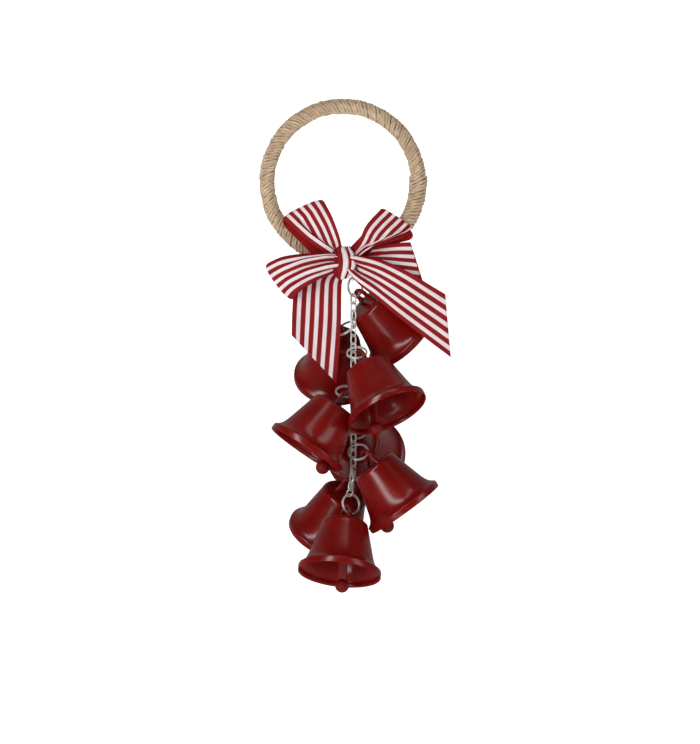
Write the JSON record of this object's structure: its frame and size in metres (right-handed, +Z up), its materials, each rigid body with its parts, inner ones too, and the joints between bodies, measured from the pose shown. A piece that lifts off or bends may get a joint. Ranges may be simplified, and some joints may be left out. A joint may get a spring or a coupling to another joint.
{
  "type": "christmas bell ornament",
  "caption": "Hanging door ornament: jute-wrapped hoop with a striped ribbon bow and a chain of glossy red bells with swinging clappers.",
  "frame": {"origin": "hang point: the inner top of the wrapped hoop, where a hook or knob bears", "axes": "+Z up along the hanging line, +X to the right seen from the front, front towards -Y"},
  "size_m": [0.16, 0.139, 0.4125],
  "materials": {
    "wood": "plain",
    "jute": "twisted cord",
    "ribbon": "striped grosgrain",
    "nickel": "polished nickel",
    "bell_paint": "glossy dark red"
  },
  "bodies": {
    "hoop": {"hoop_core": "wood", "jute_wrap": "jute", "tie_band": "ribbon", "twine_loop": "jute", "bow_knot": "ribbon", "loop_upper_left": "ribbon", "loop_upper_right": "ribbon", "loop_lower_left": "ribbon", "loop_lower_right": "ribbon", "tail_left": "ribbon", "tail_right": "ribbon"},
    "top_ring": {"ring_1": "nickel"},
    "upper_chain": {"chain_upper": "nickel"},
    "lower_chain": {"chain_lower": "nickel", "chain_end_links": "nickel", "small_ring": "nickel"},
    "bell_body_1": {"bell_1": "bell_paint", "eye_1": "bell_paint"},
    "clapper_body_1": {"clapper_1": "bell_paint"},
    "split_ring_2": {"ring_2": "nickel"},
    "bell_body_2": {"bell_2": "bell_paint", "eye_2": "bell_paint"},
    "clapper_body_2": {"clapper_2": "bell_paint"},
    "split_ring_3": {"ring_3": "nickel"},
    "bell_body_3": {"bell_3": "bell_paint", "eye_3": "bell_paint"},
    "clapper_body_3": {"clapper_3": "bell_paint"},
    "split_ring_4": {"ring_4": "nickel"},
    "bell_body_4": {"bell_4": "bell_paint", "eye_4": "bell_paint"},
    "clapper_body_4": {"clapper_4": "bell_paint"},
    "split_ring_5": {"ring_5": "nickel"},
    "bell_body_5": {"bell_5": "bell_paint", "eye_5": "bell_paint"},
    "clapper_body_5": {"clapper_5": "bell_paint"},
    "split_ring_6": {"ring_6": "nickel"},
    "bell_body_6": {"bell_6": "bell_paint", "eye_6": "bell_paint"},
    "clapper_body_6": {"clapper_6": "bell_paint"},
    "split_ring_7": {"ring_7": "nickel"},
    "bell_body_7": {"bell_7": "bell_paint", "eye_7": "bell_paint"},
    "clapper_body_7": {"clapper_7": "bell_paint"},
    "split_ring_8": {"ring_8": "nickel"},
    "bell_body_8": {"bell_8": "bell_paint", "eye_8": "bell_paint"},
    "clapper_body_8": {"clapper_8": "bell_paint"}
  },
  "joints": [
    {"name": "top_ring_sway", "type": "hinge", "parent": "hoop", "child": "top_ring", "pos_m": [0.009, 0, -0.13768], "axis": [0, 1, 0], "range_deg": [-6, 4]},
    {"name": "upper_chain_sway", "type": "hinge", "parent": "top_ring", "child": "upper_chain", "pos_m": [0.009, 0, -0.15287], "axis": [-0.6833, -0.6833, 0.2571], "range_deg": [-6, 5]},
    {"name": "lower_chain_sway", "type": "hinge", "parent": "upper_chain", "child": "lower_chain", "pos_m": [0.009, 0, -0.22035], "axis": [0.7071, -0.7071, 0], "range_deg": [-6, 0]},
    {"name": "bell_1_swing", "type": "hinge", "parent": "top_ring", "child": "bell_body_1", "pos_m": [0.01469, 0.0058, -0.15066], "axis": [-0.4896, -0.4896, -0.7215], "range_deg": [0, 8]},
    {"name": "clapper_1_swing", "type": "hinge", "parent": "bell_body_1", "child": "clapper_body_1", "pos_m": [0.02689, 0.01229, -0.16311], "axis": [0.4695, -0.8829, 0], "range_deg": [-1, 15]},
    {"name": "ring_2_swing", "type": "hinge", "parent": "upper_chain", "child": "split_ring_2", "pos_m": [0.009, 0, -0.17582], "axis": [-0.138, 0.8849, 0.4449], "range_deg": [0, 12]},
    {"name": "bell_2_swing", "type": "hinge", "parent": "split_ring_2", "child": "bell_body_2", "pos_m": [-0.00387, 0.0068, -0.18066], "axis": [0.4791, 0.5588, 0.6768], "range_deg": [0, 20]},
    {"name": "clapper_2_swing", "type": "hinge", "parent": "bell_body_2", "child": "clapper_body_2", "pos_m": [-0.00516, 0.01905, -0.19434], "axis": [0.9945, 0.1045, 0], "range_deg": [-3, 15]},
    {"name": "ring_3_swing", "type": "hinge", "parent": "upper_chain", "child": "split_ring_3", "pos_m": [0.009, 0, -0.19637], "axis": [-0.9306, -0.2567, -0.261], "range_deg": [0, 12]},
    {"name": "bell_3_swing", "type": "hinge", "parent": "split_ring_3", "child": "bell_body_3", "pos_m": [0.01612, -0.01261, -0.20416], "axis": [-0.8595, -0.3826, -0.3388], "range_deg": [0, 20]},
    {"name": "clapper_3_swing", "type": "hinge", "parent": "bell_body_3", "child": "clapper_body_3", "pos_m": [0.02289, -0.01939, -0.21892], "axis": [-0.7071, -0.7071, 0], "range_deg": [-11, 15]},
    {"name": "ring_4_swing", "type": "hinge", "parent": "lower_chain", "child": "split_ring_4", "pos_m": [0.009, 0, -0.23062], "axis": [-0.6394, 0.6269, 0.4452], "range_deg": [0, 4]},
    {"name": "bell_4_swing", "type": "hinge", "parent": "split_ring_4", "child": "bell_body_4", "pos_m": [0.00006, -0.01136, -0.23718], "axis": [-0.9462, 0.2372, 0.2202], "range_deg": [0, 4]},
    {"name": "clapper_4_swing", "type": "hinge", "parent": "bell_body_4", "child": "clapper_body_4", "pos_m": [-0.00974, -0.0138, -0.2516], "axis": [-0.2419, 0.9703, 0], "range_deg": [-9, 15]},
    {"name": "ring_5_swing", "type": "hinge", "parent": "lower_chain", "child": "split_ring_5", "pos_m": [0.009, 0, -0.25802], "axis": [0.9043, -0.4157, 0.097], "range_deg": [0, 12]},
    {"name": "bell_5_swing", "type": "hinge", "parent": "split_ring_5", "child": "bell_body_5", "pos_m": [0.00957, 0.00795, -0.27182], "axis": [0.9227, -0.1568, -0.3521], "range_deg": [0, 20]},
    {"name": "clapper_5_swing", "type": "hinge", "parent": "bell_body_5", "child": "clapper_body_5", "pos_m": [0.01328, 0.02544, -0.27763], "axis": [0.9781, -0.2079, 0], "range_deg": [-1, 15]},
    {"name": "ring_6_swing", "type": "hinge", "parent": "lower_chain", "child": "split_ring_6", "pos_m": [0.009, 0, -0.27857], "axis": [-0.8684, -0.2883, -0.4035], "range_deg": [0, 12]},
    {"name": "bell_6_swing", "type": "hinge", "parent": "split_ring_6", "child": "bell_body_6", "pos_m": [0.01991, -0.00851, -0.28669], "axis": [-0.5507, -0.536, -0.6399], "range_deg": [0, 20]},
    {"name": "clapper_6_swing", "type": "hinge", "parent": "bell_body_6", "child": "clapper_body_6", "pos_m": [0.03026, -0.00833, -0.30093], "axis": [0.0175, -0.9998, 0], "range_deg": [-9, 15]},
    {"name": "ring_7_swing", "type": "hinge", "parent": "lower_chain", "child": "split_ring_7", "pos_m": [0.009, 0, -0.29912], "axis": [-0.0777, 0.9307, 0.3574], "range_deg": [0, 4]},
    {"name": "bell_7_swing", "type": "hinge", "parent": "split_ring_7", "child": "bell_body_7", "pos_m": [0.00586, 0.00955, -0.31118], "axis": [0.0452, 0.5566, 0.8295], "range_deg": [0, 20]},
    {"name": "clapper_7_swing", "type": "hinge", "parent": "bell_body_7", "child": "clapper_body_7", "pos_m": [-0.00049, 0.0174, -0.3256], "axis": [0.7771, 0.6293, 0], "range_deg": [-9, 15]},
    {"name": "ring_8_swing", "type": "hinge", "parent": "lower_chain", "child": "split_ring_8", "pos_m": [0.00583, -0.00598, -0.31903], "axis": [-0.8235, -0.5646, -0.0546], "range_deg": [0, 4]},
    {"name": "bell_8_swing", "type": "hinge", "parent": "split_ring_8", "child": "bell_body_8", "pos_m": [0.00311, -0.01111, -0.33309], "axis": [-0.6847, -0.303, 0.6628], "range_deg": [0, 5]},
    {"name": "clapper_8_swing", "type": "hinge", "parent": "bell_body_8", "child": "clapper_body_8", "pos_m": [0.00125, -0.01802, -0.34917], "axis": [-0.9659, 0.2588, 0], "range_deg": [-15, 15]}
  ]
}
